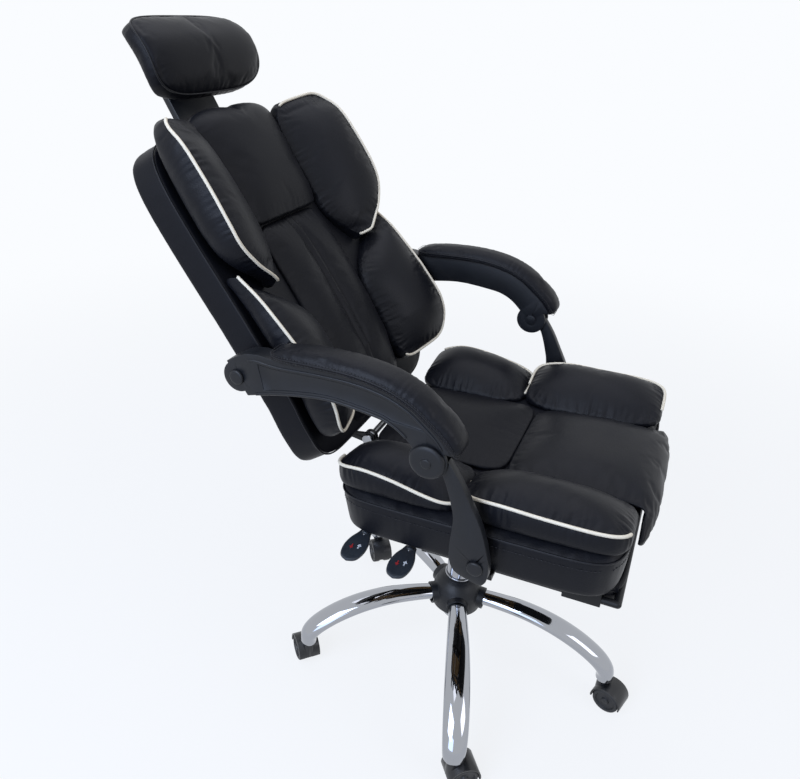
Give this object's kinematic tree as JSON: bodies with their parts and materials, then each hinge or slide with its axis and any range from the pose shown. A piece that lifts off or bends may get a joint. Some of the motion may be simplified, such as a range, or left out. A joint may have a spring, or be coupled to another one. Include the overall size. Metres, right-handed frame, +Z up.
{
  "type": "reclining office chair with footrest",
  "caption": "High-backed reclining swivel chair in padded black leather with piped side cushions, linked arms, headrest and a pull-out footrest.",
  "frame": {"origin": "on the floor, on the axis of the gas lift column", "axes": "+Z up, -Y the way the sitter faces, +X to the sitter's left"},
  "size_m": [0.6245, 0.9876, 1.1804],
  "materials": {
    "chrome_tube": "bright chrome plate",
    "hub_steel": "black paint",
    "bearing_steel": "ground steel",
    "chrome_rod": "hard chrome plate",
    "cylinder_paint": "satin black paint",
    "frame_paint": "black powder coat",
    "moulded_nylon": "fine moulded texture",
    "caster_nylon": "satin moulded nylon",
    "lever_plastic": "dark grey moulded grip",
    "plywood": "pressed birch ply",
    "black_leather": "semi-matt black coated leather"
  },
  "bodies": {
    "base": {"star_legs": "chrome_tube", "hub_tube": "hub_steel", "hub_cover": "moulded_nylon", "caster_sockets": "moulded_nylon", "column_tube": "chrome_tube", "column_bush": "moulded_nylon", "thrust_bearing": "bearing_steel"},
    "piston": {"piston_rod": "chrome_rod"},
    "seat": {"gas_cylinder": "cylinder_paint", "mechanism_tray": "frame_paint", "seat_board": "plywood", "seat_bolts": "bearing_steel", "seat_base_pad": "black_leather", "seat_rear_panel": "black_leather", "seat_front_panel": "black_leather", "seat_rear_wings": "black_leather", "seat_front_wings": "black_leather", "hinge_pin": "bearing_steel", "strut_brackets": "frame_paint", "strut_pins": "moulded_nylon", "footrest_rails": "moulded_nylon"},
    "valve": {"valve_button": "bearing_steel"},
    "lift_handle": {"lift_lever": "lever_plastic"},
    "recline_handle": {"recline_lever": "lever_plastic"},
    "back": {"back_bracket": "frame_paint", "back_shell": "black_leather", "back_board": "plywood", "back_border_pad": "black_leather", "back_upper_panel": "black_leather", "back_lower_panel": "black_leather", "back_upper_wings": "black_leather", "back_lower_wings": "black_leather", "headrest_socket": "moulded_nylon", "arm_pivot_pins": "moulded_nylon"},
    "arm_left": {"arm_bracket_left": "moulded_nylon", "arm_pad_left": "black_leather", "arm_knob_left": "moulded_nylon"},
    "arm_right": {"arm_bracket_right": "moulded_nylon", "arm_pad_right": "black_leather", "arm_knob_right": "moulded_nylon"},
    "strut_left": {"strut_left": "moulded_nylon"},
    "strut_right": {"strut_right": "moulded_nylon"},
    "headrest_post": {"headrest_stem": "moulded_nylon"},
    "headrest": {"headrest_shell": "moulded_nylon", "headrest_pad": "black_leather"},
    "footrest_slider": {"footrest_frame": "frame_paint"},
    "footrest": {"footrest_board": "plywood", "footrest_pad": "black_leather"},
    "caster_1": {"caster_hood_1": "caster_nylon"},
    "wheels_1": {"caster_wheels_1": "caster_nylon"},
    "caster_2": {"caster_hood_2": "caster_nylon"},
    "wheels_2": {"caster_wheels_2": "caster_nylon"},
    "caster_3": {"caster_hood_3": "caster_nylon"},
    "wheels_3": {"caster_wheels_3": "caster_nylon"},
    "caster_4": {"caster_hood_4": "caster_nylon"},
    "wheels_4": {"caster_wheels_4": "caster_nylon"},
    "caster_5": {"caster_hood_5": "caster_nylon"},
    "wheels_5": {"caster_wheels_5": "caster_nylon"}
  },
  "joints": [
    {"name": "caster_swivel_1", "type": "hinge", "parent": "base", "child": "caster_1", "pos_m": [-0.28715, -0.10281, 0.06], "axis": [0, 0, 1], "continuous": true},
    {"name": "wheel_spin_1", "type": "hinge", "parent": "caster_1", "child": "wheels_1", "pos_m": [-0.27565, -0.11666, 0.025], "axis": [-0.7694, -0.6388, 0], "continuous": true},
    {"name": "caster_swivel_2", "type": "hinge", "parent": "base", "child": "caster_2", "pos_m": [0.00905, -0.30487, 0.06], "axis": [0, 0, 1], "continuous": true},
    {"name": "wheel_spin_2", "type": "hinge", "parent": "caster_2", "child": "wheels_2", "pos_m": [0.004, -0.32214, 0.025], "axis": [-0.9598, 0.2807, 0], "continuous": true},
    {"name": "caster_swivel_3", "type": "hinge", "parent": "base", "child": "caster_3", "pos_m": [0.29274, -0.0856, 0.06], "axis": [0, 0, 1], "continuous": true},
    {"name": "wheel_spin_3", "type": "hinge", "parent": "caster_3", "child": "wheels_3", "pos_m": [0.27776, -0.09559, 0.025], "axis": [-0.5548, 0.832, 0], "continuous": true},
    {"name": "caster_swivel_4", "type": "hinge", "parent": "base", "child": "caster_4", "pos_m": [0.17188, 0.25196, 0.06], "axis": [0, 0, 1], "continuous": true},
    {"name": "wheel_spin_4", "type": "hinge", "parent": "caster_4", "child": "wheels_4", "pos_m": [0.15823, 0.24022, 0.025], "axis": [-0.6521, 0.7581, 0], "continuous": true},
    {"name": "caster_swivel_5", "type": "hinge", "parent": "base", "child": "caster_5", "pos_m": [-0.18652, 0.24132, 0.06], "axis": [0, 0, 1], "continuous": true},
    {"name": "wheel_spin_5", "type": "hinge", "parent": "caster_5", "child": "wheels_5", "pos_m": [-0.1744, 0.25464, 0.025], "axis": [0.7396, -0.673, 0], "continuous": true},
    {"name": "seat_swivel", "type": "hinge", "parent": "base", "child": "piston", "pos_m": [0, 0, 0.2], "axis": [0, 0, 1], "continuous": true},
    {"name": "seat_height", "type": "slide", "parent": "piston", "child": "seat", "axis": [0, 0, 1], "range_m": [-0.04, 0.06]},
    {"name": "lift_lever_pull", "type": "hinge", "parent": "seat", "child": "lift_handle", "pos_m": [-0.074, 0.028, 0.424], "axis": [0, 1, 0], "range_deg": [0, 2.4], "stiffness_Nm_per_rad": 6, "springref_deg": -17.19},
    {"name": "valve_press", "type": "slide", "parent": "seat", "child": "valve", "axis": [0, 0, -1], "range_m": [0, 0.0032]},
    {"name": "recline_lever_pull", "type": "hinge", "parent": "seat", "child": "recline_handle", "pos_m": [-0.074, 0.108, 0.424], "axis": [0, 1, 0], "range_deg": [0, 2.4], "stiffness_Nm_per_rad": 6, "springref_deg": -17.19},
    {"name": "back_recline", "type": "hinge", "parent": "seat", "child": "back", "pos_m": [0, 0.18, 0.5], "axis": [-1, 0, 0], "range_deg": [-20, 15]},
    {"name": "arm_pivot_left", "type": "hinge", "parent": "back", "child": "arm_left", "pos_m": [0.281, 0.301, 0.698], "axis": [-1, 0, 0], "range_deg": [-13.9, 18.5]},
    {"name": "strut_pivot_left", "type": "hinge", "parent": "seat", "child": "strut_left", "pos_m": [0.281, -0.092, 0.489], "axis": [-1, 0, 0], "range_deg": [-23.9, 17.9]},
    {"name": "arm_pivot_right", "type": "hinge", "parent": "back", "child": "arm_right", "pos_m": [-0.281, 0.301, 0.698], "axis": [-1, 0, 0], "range_deg": [-13.9, 18.5]},
    {"name": "strut_pivot_right", "type": "hinge", "parent": "seat", "child": "strut_right", "pos_m": [-0.281, -0.092, 0.489], "axis": [-1, 0, 0], "range_deg": [-23.9, 17.9]},
    {"name": "headrest_slide", "type": "slide", "parent": "back", "child": "headrest_post", "axis": [0, 0.5299, 0.848], "range_m": [0, 0.06]},
    {"name": "headrest_tilt", "type": "hinge", "parent": "headrest_post", "child": "headrest", "pos_m": [0, 0.61664, 1.09362], "axis": [-1, 0, 0], "range_deg": [-12, 25]},
    {"name": "footrest_slide", "type": "slide", "parent": "seat", "child": "footrest_slider", "axis": [0, -0.9976, 0.0698], "range_m": [0, 0.21]},
    {"name": "footrest_flip", "type": "hinge", "parent": "footrest_slider", "child": "footrest", "pos_m": [0, -0.28519, 0.44238], "axis": [-1, 0, 0], "range_deg": [0, 180]}
  ],
  "couplings": [
    {"joint": "valve_press", "follows": "lift_lever_pull", "m_per_rad": 0.074},
    {"joint": "arm_pivot_left", "follows": "back_recline", "ratio": -0.92},
    {"joint": "strut_pivot_left", "follows": "back_recline", "ratio": 1.19},
    {"joint": "arm_pivot_right", "follows": "back_recline", "ratio": -0.92},
    {"joint": "strut_pivot_right", "follows": "back_recline", "ratio": 1.19}
  ]
}
